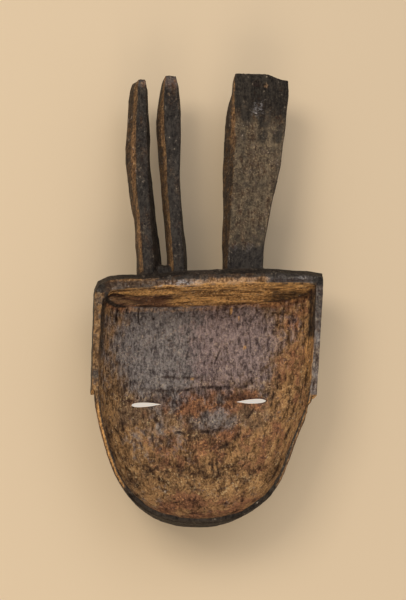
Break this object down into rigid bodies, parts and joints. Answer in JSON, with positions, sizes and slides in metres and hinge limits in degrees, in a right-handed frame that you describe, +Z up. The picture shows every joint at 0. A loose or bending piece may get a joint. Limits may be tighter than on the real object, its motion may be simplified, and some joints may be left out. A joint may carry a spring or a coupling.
{
  "type": "carved wooden face mask with three horns",
  "caption": "Deep carved wooden face mask with tall slab horns over a visor-like brow, slit eyes and a heart-shaped face, lying on its face.",
  "frame": {"origin": "centre of the footprint, on the surface that the mask's flat face rests on", "axes": "+Z up out of the wearer's hollow, +Y from the chin to the horns, +X to the right as one looks down into the hollow"},
  "size_m": [0.1962, 0.396, 0.072],
  "materials": {
    "old_wood": "hand-adzed wood, dark brown with smoke and handling, worn lighter on its ridges, dull sheen"
  },
  "bodies": {
    "root": {"mask": "old_wood"}
  },
  "joints": []
}
